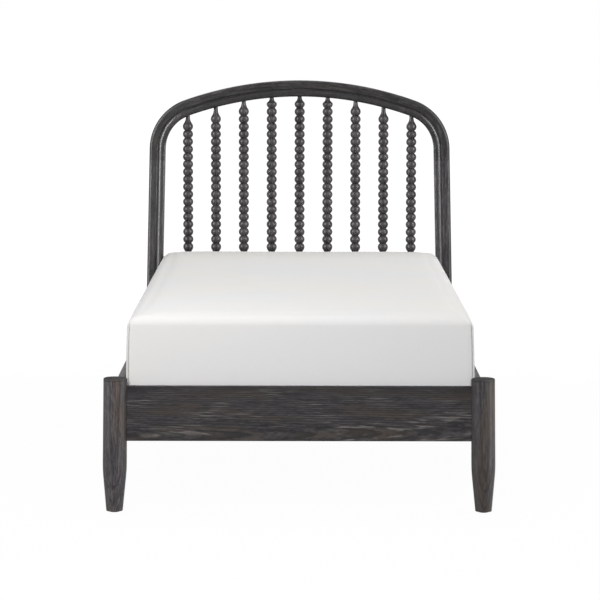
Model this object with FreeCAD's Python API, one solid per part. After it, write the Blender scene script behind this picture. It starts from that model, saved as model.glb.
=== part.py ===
"""Twin platform bed: a moulded, arched headboard with bobbin spindles, plank rails, turned front legs,
a slatted deck, and a mattress under a fitted sheet.

Millimetres and degrees. +Z is up, the foot of the bed faces -Y, the headboard stands at +Y, and the
origin lies on the floor below the middle of the bed. Pieces that come in pairs are modelled on the
right side (+X) and mirrored.
"""
import math
import os

import FreeCAD
import Part

V = FreeCAD.Vector
X_AXIS = V(1, 0, 0)
Y_AXIS = V(0, 1, 0)
Z_AXIS = V(0, 0, 1)
MIDDLE = V(0, 0, 0)

# Driving dimensions: mattress and sheet
mattress_width = 982.0
mattress_length = 1901.0
mattress_height = 245.0
mattress_crown = 4.0
mattress_corner_radius = 30.0
mattress_top_radius = 27.0
mattress_bottom_radius = 15.0
sheet_thickness = 1.7
sheet_hem = 90.0

# Driving dimensions: rails and deck
deck_height = 310.0
rail_top = 358.0
rail_height = 156.0
rail_thickness = 22.0
rail_proud_of_leg_axis = 5.5
rail_edge_radius = 3.0
ledger_width = 24.0
ledger_height = 36.0
ledger_foot_setback = 50.0
ledger_head_setback = 14.0
slat_count = 14
slat_width = 68.0
slat_thickness = 19.0
slat_edge_radius = 3.0
slat_setback = 10.0

# Driving dimensions: turned front legs
leg_rise = 23.0
leg_top_diameter = 66.8
leg_body_diameter = 68.0
leg_foot_diameter = 46.0
leg_shoulder_height = 140.0
leg_shoulder_radius = 450.0
leg_top_round = 3.5
leg_splay = 0.7

# Driving dimensions: headboard frame
headboard_height = 1162.0
frame_face = 56.5
frame_depth = 46.0
crown_radius = 1209.0
shoulder_radius = 183.0
post_splay = 1.42
shoulder_straight = 42.0
lower_rail_top = 536.0
lower_rail_height = 150.0
lower_rail_thickness = 25.0
lower_rail_edge_radius = 3.0
tenon_length = 30.0
tenon_thickness = 12.0
tenon_shoulder = 20.0

# Driving dimensions: the moulding on the front of the frame
outer_round = 11.0
band_recess = 4.0
roll_width = 4.0
groove_floor = 2.0
groove_depth = 3.1
bead_round = 20.0
bead_inset = 9.2
inner_round = 8.0
back_round = 3.0
moulding_stop_height = 440.0

# Driving dimensions: bobbin spindles
spindle_count = 9
spindle_inset = 80.0
bobbin_diameter = 36.5
bobbin_neck = 21.5
bobbin_pitch = 26.65
end_taper = 33.0
end_taper_least = 20.0
pin_show = 3.0
taper_bulge = 0.34
pin_diameter = 15.0
pin_depth = 18.0

# Driving dimensions: dowels, screws, hook plates and glides
dowel_diameter = 10.0
dowel_length = 50.0
arch_dowel_inset = 17.0
foot_dowel_inset = 10.0
screw_diameter = 4.0
screw_head_diameter = 8.0
screw_bite = 13.0
ledger_screw_step = 3
plate_screw_length = 18.0
plate_screw_inset = 5.5
slot_plate_thickness = 2.0
slot_plate_width = 18.0
slot_plate_end_room = 11.0
slot_plate_depth = 10.0
hook_plate_thickness = 3.0
hook_plate_end_room = 15.0
hook_plate_reach = 44.0
hook_neck = 9.0
hook_drop = 9.0
hook_thickness = 6.0
hook_spacing = 70.0
hook_pin_diameter = 5.0
hook_pin_reach = 27.0
hook_pin_spacing = 60.0
hook_pin_cover = 4.0
glide_diameter = 28.0
glide_height = 3.0
glide_nail_diameter = 4.0
glide_nail_length = 14.0

# Clearances
side_clearance = 9.0
foot_clearance = 8.0
head_clearance = 6.0
slat_end_clearance = 2.0
soft_gap = 0.3
joint_gap = 0.2
hole_gap = 0.1
slot_gap = 0.3
hook_room = 1.5

# Bed plan, across: the mattress sets the rails, and the rails set the legs
sheet_growth = sheet_thickness + soft_gap
rail_inner_x = mattress_width / 2 + sheet_growth + side_clearance
rail_middle_x = rail_inner_x + rail_thickness / 2
rail_outer_x = rail_inner_x + rail_thickness
leg_x = rail_outer_x - rail_proud_of_leg_axis
rail_bottom = rail_top - rail_height
rail_middle_z = rail_top - rail_height / 2
leg_height = rail_top + leg_rise

# Bed plan, along: from the leg axis to the back of the headboard, centred on the origin
foot_rail_back_from_leg = rail_thickness - rail_proud_of_leg_axis
sheet_front_from_leg = foot_rail_back_from_leg + foot_clearance
sheet_length = mattress_length + 2 * sheet_growth
headboard_front_from_leg = sheet_front_from_leg + sheet_length + head_clearance
leg_body_radius = leg_body_diameter / 2
overall_length = leg_body_radius + headboard_front_from_leg + frame_depth
leg_y = leg_body_radius - overall_length / 2
foot_rail_front_y = leg_y - rail_proud_of_leg_axis
foot_rail_back_y = leg_y + foot_rail_back_from_leg
foot_rail_middle_y = (foot_rail_front_y + foot_rail_back_y) / 2
mattress_front_y = leg_y + sheet_front_from_leg + sheet_growth
mattress_back_y = mattress_front_y + mattress_length
headboard_front_y = leg_y + headboard_front_from_leg
headboard_middle_y = headboard_front_y + frame_depth / 2
headboard_back_y = headboard_front_y + frame_depth

# Deck
slat_bottom = deck_height - slat_thickness
ledger_bottom = slat_bottom - ledger_height
ledger_inner_x = rail_inner_x - ledger_width
ledger_middle_x = rail_inner_x - ledger_width / 2
ledger_front_y = leg_y + ledger_foot_setback
ledger_back_y = headboard_front_y - ledger_head_setback
slat_first_y = ledger_front_y + slat_setback + slat_width / 2
slat_last_y = ledger_back_y - slat_setback - slat_width / 2
slat_pitch = (slat_last_y - slat_first_y) / (slat_count - 1)
slat_centres = [slat_first_y + slat_pitch * i for i in range(slat_count)]

# Three-centred arch of the headboard: crown arc, shoulder arcs, splayed straight posts.
# Angles run from straight up towards +X. The post's middle line passes over the leg axis at rail height.
splay = math.radians(post_splay)
post_down = V(math.sin(splay), 0, -math.cos(splay))
post_inward = V(-math.cos(splay), 0, -math.sin(splay))
post_middle_at_rail = V(leg_x, 0, rail_middle_z)
post_outer_at_rail = post_middle_at_rail - post_inward * (frame_face / 2)
crown_centre = V(0, 0, headboard_height - crown_radius)


def shoulder_centre_point():
    """Centre of the shoulder arc: one shoulder radius inside the post's outer line, and touching the
    crown arc from inside."""
    start = post_outer_at_rail + post_inward * shoulder_radius
    away = start - crown_centre
    reach = crown_radius - shoulder_radius
    half = away.dot(post_down)
    along = -half - math.sqrt(half * half - away.dot(away) + reach * reach)
    return start + post_down * along


shoulder_centre = shoulder_centre_point()
crown_end = math.atan2(shoulder_centre.x - crown_centre.x, shoulder_centre.z - crown_centre.z)
shoulder_end = math.pi / 2 - splay
post_top = shoulder_centre - post_inward * shoulder_radius
post_seam = post_top + post_down * shoulder_straight
outer_spindle_x = (post_seam + post_inward * frame_face).x - spindle_inset
spindle_spacing = 2 * outer_spindle_x / (spindle_count - 1)
spindle_places = [i * spindle_spacing - outer_spindle_x for i in range(spindle_count)]
crown_seam_x = outer_spindle_x - spindle_spacing / 2
crown_seam = math.asin(crown_seam_x / (crown_radius - frame_face / 2))


def polar(angle):
    """Unit vector in the headboard's plane at an angle from straight up towards +X."""
    return V(math.sin(angle), 0, math.cos(angle))


def arch_inner_height(x):
    """Height of the frame's inner edge above a place across the bed."""
    inner = crown_radius - frame_face
    if abs(x) <= inner * math.sin(crown_end):
        return crown_centre.z + math.sqrt(inner * inner - x * x)
    inner = shoulder_radius - frame_face
    offset = abs(x) - shoulder_centre.x
    return shoulder_centre.z + math.sqrt(inner * inner - offset * offset)


def post_line(distance_in, height):
    """X of a line along the post, a distance in from its outer face, at a height."""
    point = post_outer_at_rail + post_inward * distance_in
    return point.x + (point.z - height) * math.tan(splay)


# General helpers
def block(x0, x1, y0, y1, z0, z1):
    """Box between two corners."""
    return Part.makeBox(x1 - x0, y1 - y0, z1 - z0, V(x0, y0, z0))


def rod(radius, start, end):
    """Cylinder between two points."""
    return Part.makeCylinder(radius, (end - start).Length, start, end - start)


def mirrored(shape):
    """The same piece on the other side of the bed."""
    return shape.mirror(MIDDLE, X_AXIS)


def both_sides(shapes):
    """Shapes of the right side together with their mirror images."""
    return shapes + [mirrored(shape) for shape in shapes]


def cut_all(shape, tools):
    """Shape less every tool."""
    return shape.cut(Part.makeCompound(tools))


def eased(solid, radius, direction):
    """Solid with its straight edges along a direction rounded."""
    edges = []
    for edge in solid.Edges:
        if abs(edge.tangentAt(edge.FirstParameter).dot(direction)) > 0.999:
            edges.append(edge)
    return solid.makeFillet(radius, edges)


def outline(steps, place):
    """Face inside a closed outline. A step is a corner (u, v), or a pair of a middle and an end point for
    an arc, and place turns (u, v) into a point in space."""
    edges = []
    here = steps[0]
    for step in steps[1:] + steps[:1]:
        if isinstance(step[0], tuple):
            middle, end = step
            edges.append(Part.Arc(place(here), place(middle), place(end)).toShape())
        else:
            end = step
            edges.append(Part.LineSegment(place(here), place(end)).toShape())
        here = end
    return Part.Face(Part.Wire(edges))


def turned(steps, base, direction):
    """Solid of revolution from an outline of (radius, height) steps, standing on base along direction."""
    face = outline(steps, lambda point: V(point[0], 0, point[1]))
    solid = face.revolve(MIDDLE, Z_AXIS, 360)
    solid.Placement = FreeCAD.Placement(base, FreeCAD.Rotation(Z_AXIS, direction))
    return solid


def on_circle(centre, radius, angle):
    """Point (u, v) on a circle."""
    return (centre[0] + radius * math.cos(angle), centre[1] + radius * math.sin(angle))


# Headboard frame
def moulded_front():
    """Front of the frame's cross-section, in from the outer edge: a rounded edge, a flat band that rolls into
    a groove, and a broad bead that stands proud of the band and flows into the rounded inner edge."""
    groove_v = band_recess + groove_depth
    outer_middle = on_circle((outer_round, band_recess + outer_round), outer_round, -math.pi * 3 / 4)
    bead_centre = (frame_face - bead_inset, bead_round)
    bead_start_angle = -math.pi + math.asin((bead_round - groove_v) / bead_round)
    bead_start = on_circle(bead_centre, bead_round, bead_start_angle)
    bead_end_angle = math.asin((bead_inset - inner_round) / (bead_round - inner_round)) - math.pi / 2
    bead_end = on_circle(bead_centre, bead_round, bead_end_angle)
    bead_middle = on_circle(bead_centre, bead_round, (bead_start_angle + bead_end_angle) / 2)
    inner_centre = on_circle(bead_centre, bead_round - inner_round, bead_end_angle)
    inner_middle = on_circle(inner_centre, inner_round, bead_end_angle / 2)
    groove_start = bead_start[0] - groove_floor
    band_end = groove_start - roll_width
    roll_radius = (roll_width**2 + groove_depth**2) / (2 * groove_depth)
    roll_turn = math.atan2(roll_width, roll_radius - groove_depth)
    roll_middle = on_circle((band_end, band_recess + roll_radius), roll_radius, (roll_turn - math.pi) / 2)
    return [
        (0.0, band_recess + outer_round),
        (outer_middle, (outer_round, band_recess)),
        (band_end, band_recess),
        (roll_middle, (groove_start, groove_v)),
        bead_start,
        (bead_middle, bead_end),
        (inner_middle, (frame_face, inner_centre[1])),
    ]


def plain_front():
    """Front of the posts' cross-section below the moulding: flat, so that the side rails butt against it,
    with both edges rounded."""
    inner_u = frame_face - inner_round
    outer_middle = on_circle((outer_round, outer_round), outer_round, -math.pi * 3 / 4)
    inner_middle = on_circle((inner_u, inner_round), inner_round, -math.pi / 4)
    return [
        (0.0, outer_round),
        (outer_middle, (outer_round, 0.0)),
        (inner_u, 0.0),
        (inner_middle, (frame_face, inner_round)),
    ]


def frame_section(front, outer_edge, inward):
    """Cross-section of the frame with a given front and eased back edges. u runs in from the outer edge, v
    to the back."""
    back = frame_depth - back_round
    back_inner_middle = on_circle((frame_face - back_round, back), back_round, math.pi / 4)
    back_outer_middle = on_circle((back_round, back), back_round, math.pi * 3 / 4)
    steps = front + [
        (frame_face, back),
        (back_inner_middle, (frame_face - back_round, frame_depth)),
        (back_round, frame_depth),
        (back_outer_middle, (0.0, back)),
    ]
    front_edge = V(outer_edge.x, headboard_front_y, outer_edge.z)
    return outline(steps, lambda point: front_edge + inward * point[0] + Y_AXIS * point[1])


def frame_arc(centre, radius, start, end):
    """Moulded stretch of the frame bent about a centre, with its outer edge at a radius."""
    face = frame_section(moulded_front(), centre + polar(start) * radius, polar(start) * -1)
    return face.revolve(centre, Y_AXIS, math.degrees(end - start))


def frame_straight(front, start, end):
    """Straight stretch of the frame, with its outer edge between two points on the post line."""
    return frame_section(front, start, post_inward).extrude(end - start)


def dowel_pair(seam_outer, inward, along):
    """Middle points of the two dowels across a seam of the frame."""
    points = []
    for inset in (arch_dowel_inset, frame_face - arch_dowel_inset):
        point = seam_outer + inward * inset
        points.append((V(point.x, headboard_middle_y, point.z), along))
    return points


def arch_dowel_places():
    """Middle and direction of each arch dowel on the right side."""
    crown_seam_outer = crown_centre + polar(crown_seam) * crown_radius
    along_crown = V(math.cos(crown_seam), 0, -math.sin(crown_seam))
    places = dowel_pair(crown_seam_outer, polar(crown_seam) * -1, along_crown)
    return places + dowel_pair(post_seam, post_inward, post_down)


def dowel(middle, along, gap=0.0):
    """Round dowel about its middle point, or its hole when a gap is given."""
    reach = along * (dowel_length / 2 + 2 * gap)
    return rod(dowel_diameter / 2 + gap, middle - reach, middle + reach)


def arch_dowel_holes():
    holes = [dowel(middle, along, hole_gap) for middle, along in arch_dowel_places()]
    return both_sides(holes)


def spindle_pin_holes():
    """Upper and lower holes for the spindles' round tenons."""
    radius = pin_diameter / 2 + hole_gap
    holes = []
    for x in spindle_places:
        arch_z = arch_inner_height(x)
        holes.append(rod(radius, V(x, headboard_middle_y, arch_z - frame_face),
                         V(x, headboard_middle_y, arch_z + pin_depth + joint_gap)))
        holes.append(rod(radius, V(x, headboard_middle_y, lower_rail_top - pin_depth - joint_gap),
                         V(x, headboard_middle_y, lower_rail_top + pin_depth)))
    return holes


def crown_rail():
    arc = frame_arc(crown_centre, crown_radius, -crown_seam, crown_seam)
    return cut_all(arc, arch_dowel_holes() + spindle_pin_holes())


def shoulder():
    """Right shoulder: the last of the crown arc, the tight arc, and a short straight down to the seam."""
    crown_part = frame_arc(crown_centre, crown_radius, crown_seam, crown_end)
    bend = frame_arc(shoulder_centre, shoulder_radius, crown_end, shoulder_end)
    straight = frame_straight(moulded_front(), post_top, post_seam)
    whole = crown_part.fuse([bend, straight]).removeSplitter()
    return cut_all(whole, arch_dowel_holes() + spindle_pin_holes())


def tenon_outline(gap):
    """Face of the lower rail's right tenon, grown by a gap for its mortise."""
    low = lower_rail_top - lower_rail_height + tenon_shoulder - gap
    high = lower_rail_top - tenon_shoulder + gap
    inner = frame_face + joint_gap
    tip = frame_face - tenon_length - gap
    y = headboard_middle_y - tenon_thickness / 2 - gap
    corners = [(post_line(inner, low), low), (post_line(tip, low), low),
               (post_line(tip, high), high), (post_line(inner, high), high)]
    return outline(corners, lambda point: V(point[0], y, point[1]))


def tenon(gap=0.0):
    return tenon_outline(gap).extrude(Y_AXIS * (tenon_thickness + 2 * gap))


def post():
    """Right post: moulded down to a stop and plain below it, cut level just above the floor, with its
    mortise, dowel holes and hook plate seat."""
    stop = post_seam + post_down * ((post_seam.z - moulding_stop_height) / math.cos(splay))
    floor_end = post_seam + post_down * (post_seam.z + frame_face)
    moulded = frame_straight(moulded_front(), post_seam, stop)
    plain = frame_straight(plain_front(), stop, floor_end)
    straight = moulded.fuse(plain).removeSplitter()
    room = frame_face * 2
    floor = block(post_seam.x - room, floor_end.x + room, headboard_front_y - room,
                  headboard_back_y + room, -room, glide_height)
    tools = [floor, tenon(joint_gap), glide_nail(post_glide_place(), hole_gap)]
    tools += arch_dowel_holes() + head_hardware_cuts()
    return cut_all(straight, tools)


def headboard_lower_rail():
    """Plank between the posts that takes the spindles' lower tenons, with ends cut to the splay."""
    low = lower_rail_top - lower_rail_height
    inner = frame_face + joint_gap
    low_x = post_line(inner, low)
    high_x = post_line(inner, lower_rail_top)
    y = headboard_middle_y - lower_rail_thickness / 2
    corners = [(-low_x, low), (low_x, low), (high_x, lower_rail_top), (-high_x, lower_rail_top)]
    plank = outline(corners, lambda point: V(point[0], y, point[1])).extrude(Y_AXIS * lower_rail_thickness)
    plank = eased(plank, lower_rail_edge_radius, X_AXIS)
    plank = plank.fuse(both_sides([tenon()])).removeSplitter()
    return cut_all(plank, spindle_pin_holes())


# Spindles
def taper_steps(bead_z, length, up):
    """Drawn-out end of a spindle, from the widest part of its last bead to its pin: a convex arc that flows
    into a hollow one. up is 1 for the upper end and -1 for the lower."""
    drop = (bobbin_diameter - pin_diameter) / 2
    radii = (drop**2 + length**2) / (2 * drop)
    convex = radii * taper_bulge
    hollow = radii - convex
    turn = math.atan2(length, radii - drop)
    convex_centre = (bobbin_diameter / 2 - convex, bead_z)
    hollow_centre = (pin_diameter / 2 + hollow, bead_z + up * length)
    convex_middle = on_circle(convex_centre, convex, up * turn / 2)
    join = on_circle(convex_centre, convex, up * turn)
    hollow_middle = on_circle(hollow_centre, -hollow, up * turn / 2)
    return convex_middle, join, hollow_middle, (pin_diameter / 2, bead_z + up * length)


def spindle(x):
    """Bobbin spindle: as many beads as fit below the arch, drawn out to a round pin at both ends."""
    radius = bobbin_diameter / 2
    pin = pin_diameter / 2
    half_pitch = bobbin_pitch / 2
    depth = radius - bobbin_neck / 2
    bead_radius = (half_pitch**2 + depth**2) / (2 * depth)
    half_turn = math.atan2(half_pitch, bead_radius - depth) / 2
    first = lower_rail_top + pin_show + end_taper
    arch_z = arch_inner_height(x)
    bead_count = int((arch_z - end_taper_least - first) / bobbin_pitch) + 1
    last = first + (bead_count - 1) * bobbin_pitch
    upper_taper = min(end_taper, arch_z - last - pin_show)
    foot_z = lower_rail_top - pin_depth
    head_z = arch_z + pin_depth

    middle, join, hollow, end = taper_steps(first, end_taper, -1)
    steps = [(0.0, foot_z), (pin, foot_z), end, (hollow, join), (middle, (radius, first))]
    for number in range(bead_count - 1):
        z = first + number * bobbin_pitch
        neck = (bobbin_neck / 2, z + half_pitch)
        rise = on_circle((radius - bead_radius, z), bead_radius, half_turn)
        swell = on_circle((radius - bead_radius, z + bobbin_pitch), bead_radius, -half_turn)
        steps += [(rise, neck), (swell, (radius, z + bobbin_pitch))]
    middle, join, hollow, end = taper_steps(last, upper_taper, 1)
    steps += [(middle, join), (hollow, end), (pin, head_z), (0.0, head_z)]
    return turned(steps, V(x, headboard_middle_y, 0), Z_AXIS)


# Front legs and rails
def leg_body(gap=0.0):
    """Right front leg as turned: round body, soft shoulder, straight taper to the foot. It leans out by the
    splay about the middle of the rails. A gap grows it into the shape that the rails are scribed to."""
    body = leg_body_diameter / 2 + gap
    top = leg_top_diameter / 2 + gap
    foot = leg_foot_diameter / 2 + gap
    centre = (body - leg_shoulder_radius, leg_shoulder_height)
    to_centre = (centre[0] - foot, centre[1])
    distance = math.hypot(*to_centre)
    straight = math.sqrt(distance**2 - leg_shoulder_radius**2)
    lean = math.atan2(to_centre[1], to_centre[0]) - math.atan2(leg_shoulder_radius, straight)
    shoulder_low = (foot + straight * math.cos(lean), straight * math.sin(lean))
    shoulder_middle = on_circle(centre, leg_shoulder_radius, (lean - math.pi / 2) / 2)
    below = -glide_height
    foot_below = foot + below / math.tan(lean)
    round_middle = on_circle((top - leg_top_round, leg_height - leg_top_round), leg_top_round, math.pi / 4)
    steps = [
        (0.0, below),
        (foot_below, below),
        shoulder_low,
        (shoulder_middle, (body, leg_shoulder_height)),
        (top, leg_height - leg_top_round),
        (round_middle, (top - leg_top_round, leg_height)),
        (0.0, leg_height),
    ]
    solid = turned(steps, V(leg_x, leg_y, 0), Z_AXIS)
    solid.rotate(V(leg_x, leg_y, rail_middle_z), Y_AXIS, -leg_splay)
    return solid


def foot_leg():
    """Right front leg, cut level just above the floor."""
    room = leg_body_diameter
    floor = block(leg_x - room, leg_x + room, leg_y - room, leg_y + room, -room, glide_height)
    tools = [floor, glide_nail(leg_glide_place(), hole_gap)]
    tools += foot_dowel_holes() + foot_hardware_cuts()
    return cut_all(leg_body(), tools)


def foot_dowel_places():
    """Middle of each foot rail dowel on the right: half in the rail, half in the leg."""
    surface_x = leg_x - math.sqrt(leg_body_radius**2 - (foot_rail_middle_y - leg_y)**2)
    heights = [rail_bottom + foot_dowel_inset, rail_middle_z, rail_top - foot_dowel_inset]
    return [V(surface_x, foot_rail_middle_y, height) for height in heights]


def foot_dowel_holes():
    return [dowel(middle, X_AXIS, hole_gap) for middle in foot_dowel_places()]


def foot_rail():
    """Plank between the front legs, its ends scribed to the round legs."""
    plank = block(-leg_x, leg_x, foot_rail_front_y, foot_rail_back_y, rail_bottom, rail_top)
    plank = eased(plank, rail_edge_radius, X_AXIS)
    return cut_all(plank, both_sides([leg_body(joint_gap)] + foot_dowel_holes()))


def side_rail():
    """Right side rail, scribed to the leg at the foot and square against the post at the head."""
    plank = block(rail_inner_x, rail_outer_x, leg_y, headboard_front_y - joint_gap, rail_bottom, rail_top)
    plank = eased(plank, rail_edge_radius, Y_AXIS)
    tools = [leg_body(joint_gap)] + ledger_screws(hole_gap)
    for end in (foot_end(), head_end()):
        tools += [hook_kerf(end)] + hook_pins(end, hole_gap)
    return cut_all(plank, tools)


# Hook plates that join the side rails to the legs and posts. An end is (y of the slot plate's outer face,
# direction into the leg or post along Y, y of the rail's end at its middle).
def foot_end():
    surface = math.sqrt(leg_body_radius**2 - (leg_x - rail_middle_x)**2)
    return leg_y + surface - slot_plate_depth, -1, leg_y + surface


def head_end():
    return headboard_front_y, 1, headboard_front_y


def end_block(end, half_width, depth_from, depth_to, low, high):
    """Box at a rail end, between two depths into the leg or post."""
    face, way, _ = end
    near, far = sorted((face + way * depth_from, face + way * depth_to))
    return block(rail_middle_x - half_width, rail_middle_x + half_width, near, far, low, high)


def hook_tops():
    """Heights of the tops of the lower and upper hook."""
    return [rail_middle_z - hook_spacing / 2, rail_middle_z + hook_spacing / 2]


def hook_plate_span():
    """Lower and upper end of the hook plate."""
    lower, upper = hook_tops()
    return lower - hook_neck - hook_plate_end_room, upper + hook_plate_end_room


def slot_plate_span():
    """Lower and upper end of the slot plate."""
    lower, upper = hook_tops()
    return lower - hook_neck - hook_drop - slot_plate_end_room, upper + hook_drop + slot_plate_end_room


def hook_plate(end):
    """Steel plate let into the rail's end, with two hooks that reach through the slot plate and drop
    behind it."""
    face, way, rail_end = end
    low, high = hook_plate_span()
    root = -abs(rail_end - face) - hook_plate_reach
    lip = -slot_gap
    catch = slot_plate_thickness + slot_gap
    tip = catch + hook_thickness
    corners = [(root, low), (lip, low)]
    for top in hook_tops():
        neck = top - hook_neck
        corners += [(lip, neck), (catch, neck), (catch, neck - hook_drop), (tip, neck - hook_drop)]
        corners += [(tip, top), (lip, top)]
    corners += [(lip, high), (root, high)]
    x = rail_middle_x - hook_plate_thickness / 2
    face_plate = outline(corners, lambda point: V(x, face + way * point[0], point[1]))
    return face_plate.extrude(X_AXIS * hook_plate_thickness).cut(Part.makeCompound(hook_pins(end, hole_gap)))


def hook_kerf(end):
    """Saw kerf in the rail's end for the hook plate."""
    face, _, rail_end = end
    low, high = hook_plate_span()
    depth = abs(rail_end - face) + hook_plate_reach + joint_gap
    return end_block(end, hook_plate_thickness / 2 + hole_gap, -depth, 0.0, low - joint_gap, high + joint_gap)


def hook_pins(end, gap=0.0):
    """Two pins across the rail that hold the hook plate, put in from the inner face."""
    _, way, rail_end = end
    y = rail_end - way * hook_pin_reach
    pins = []
    for side in (-1, 1):
        z = rail_middle_z + side * hook_pin_spacing / 2
        pins.append(rod(hook_pin_diameter / 2 + gap, V(rail_inner_x - gap, y, z),
                        V(rail_outer_x - hook_pin_cover + gap, y, z)))
    return pins


def slot_plate(end):
    """Slotted steel plate, screwed flat into its seat."""
    low, high = slot_plate_span()
    plate = end_block(end, slot_plate_width / 2, 0.0, slot_plate_thickness, low, high)
    tools = plate_screws(end, hole_gap)
    for top in hook_tops():
        slot_low = top - hook_neck - slot_gap
        slot_high = top + hook_drop + slot_gap
        tools.append(end_block(end, hook_plate_thickness / 2 + slot_gap, -slot_plate_thickness,
                               2 * slot_plate_thickness, slot_low, slot_high))
    return cut_all(plate, tools)


def plate_screws(end, gap=0.0):
    """Screws at the top and bottom of the slot plate."""
    face, way, _ = end
    low, high = slot_plate_span()
    screws = []
    for z in (low + plate_screw_inset, high - plate_screw_inset):
        head = V(rail_middle_x, face, z)
        screws.append(wood_screw(head, Y_AXIS * way, plate_screw_length, gap))
    return screws


def hardware_cuts(end):
    """Seat for the slot plate, room behind it for the hooks, and its screw holes."""
    low, high = slot_plate_span()
    cuts = [end_block(end, slot_plate_width / 2 + hole_gap, -leg_body_radius, slot_plate_thickness,
                      low - joint_gap, high + joint_gap)]
    deep = slot_plate_thickness + slot_gap + hook_thickness + hook_room
    for top in hook_tops():
        room_low = top - hook_neck - hook_drop - hook_room
        room_high = top + hook_drop + hook_room
        cuts.append(end_block(end, hook_plate_thickness / 2 + hook_room, 0.0, deep, room_low, room_high))
    return cuts + plate_screws(end, hole_gap)


def foot_hardware_cuts():
    return hardware_cuts(foot_end())


def head_hardware_cuts():
    return hardware_cuts(head_end())


# Screws and glides
def wood_screw(head, direction, length, gap=0.0):
    """Countersunk screw from the middle of its flat head, or its hole when a gap is given."""
    shank = screw_diameter / 2 + gap
    head_radius = screw_head_diameter / 2 + gap
    sink = head_radius - shank
    tip = length - screw_diameter + gap
    steps = [(0.0, 0.0), (head_radius, 0.0), (shank, sink), (shank, tip), (0.0, length + gap)]
    return turned(steps, head, direction)


def ledger_screws(gap=0.0):
    """Screws through the right ledger into its rail, between the slats."""
    z = (ledger_bottom + slat_bottom) / 2
    screws = []
    for number in range(0, slat_count - 1, ledger_screw_step):
        y = slat_centres[number] + slat_pitch / 2
        screws.append(wood_screw(V(ledger_inner_x, y, z), X_AXIS, ledger_width + screw_bite, gap))
    return screws


def slat_screws(y, gap=0.0):
    """Screws through both ends of one slat into the ledgers."""
    head = V(ledger_middle_x, y, deck_height)
    return both_sides([wood_screw(head, Z_AXIS * -1, slat_thickness + screw_bite, gap)])


def leg_glide_place():
    """Middle of the right front leg's foot on the floor."""
    return V(leg_x + rail_middle_z * math.tan(math.radians(leg_splay)), leg_y, 0)


def post_glide_place():
    """Middle of the right post's foot on the floor."""
    return V(post_line(frame_face / 2, 0), headboard_middle_y, 0)


def glide_nail(place, gap=0.0):
    radius = glide_nail_diameter / 2 + gap
    top = glide_height + glide_nail_length + gap
    return rod(radius, place + Z_AXIS * (glide_height / 2), place + Z_AXIS * top)


def floor_glide(place):
    """Plastic disc with its nail."""
    disc = rod(glide_diameter / 2, place, place + Z_AXIS * glide_height)
    return disc.fuse(glide_nail(place)).removeSplitter()


# Deck
def ledger():
    """Right ledger, on the inner face of its rail."""
    batten = block(ledger_inner_x, rail_inner_x, ledger_front_y, ledger_back_y, ledger_bottom, slat_bottom)
    tools = ledger_screws(hole_gap)
    for y in slat_centres:
        tools += slat_screws(y, hole_gap)
    return cut_all(batten, tools)


def slat(y):
    """One board of the deck, with eased edges."""
    end = rail_inner_x - slat_end_clearance
    half = slat_width / 2
    board = block(-end, end, y - half, y + half, slat_bottom, deck_height)
    board = eased(board, slat_edge_radius, X_AXIS)
    return cut_all(board, slat_screws(y, hole_gap))


# Mattress and sheet
def soft_block(growth):
    """Mattress form grown by a distance: upright rounded corners, a crowned top with a soft edge, and a
    drawn-in lower edge."""
    half = mattress_width / 2 + growth
    front = mattress_front_y - growth
    back = mattress_back_y + growth
    low = deck_height + soft_gap + sheet_growth - growth
    edge = low + mattress_height + 2 * growth
    corners = [(-half, low), (half, low), (half, edge), ((0.0, edge + mattress_crown), (-half, edge))]
    section = outline(corners, lambda point: V(point[0], front, point[1]))
    form = section.extrude(Y_AXIS * (back - front))
    form = eased(form, mattress_corner_radius + growth, Z_AXIS)
    middle_z = (low + edge) / 2
    top_edges = [edge_ for edge_ in form.Edges if edge_.BoundBox.ZMin > middle_z]
    form = form.makeFillet(mattress_top_radius + growth, top_edges)
    low_edges = [edge_ for edge_ in form.Edges if edge_.BoundBox.ZMax < low + soft_gap]
    return form.makeFillet(mattress_bottom_radius + growth, low_edges)


def mattress():
    return soft_block(0.0)


def fitted_sheet():
    """Thin cover over the mattress, turned in under it by a hem and open in the middle below."""
    cover = soft_block(sheet_growth).cut(soft_block(soft_gap))
    half = mattress_width / 2 - sheet_hem
    opening = block(-half, half, mattress_front_y + sheet_hem, mattress_back_y - sheet_hem,
                    deck_height - sheet_hem, deck_height + sheet_hem)
    return cover.cut(opening)


# Nodes
def paired(name, shape):
    return {"left_" + name: mirrored(shape), "right_" + name: shape}


def frame_nodes():
    nodes = {"crown_rail": crown_rail(), "headboard_lower_rail": headboard_lower_rail()}
    nodes.update(paired("post", post()))
    nodes.update(paired("shoulder", shoulder()))
    for number, x in enumerate(spindle_places, 1):
        nodes["spindle_%d" % number] = spindle(x)
    return nodes


def base_nodes():
    nodes = {"foot_rail": foot_rail()}
    nodes.update(paired("foot_leg", foot_leg()))
    nodes.update(paired("side_rail", side_rail()))
    nodes.update(paired("ledger", ledger()))
    for number, y in enumerate(slat_centres, 1):
        nodes["slat_%02d" % number] = slat(y)
    return nodes


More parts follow.
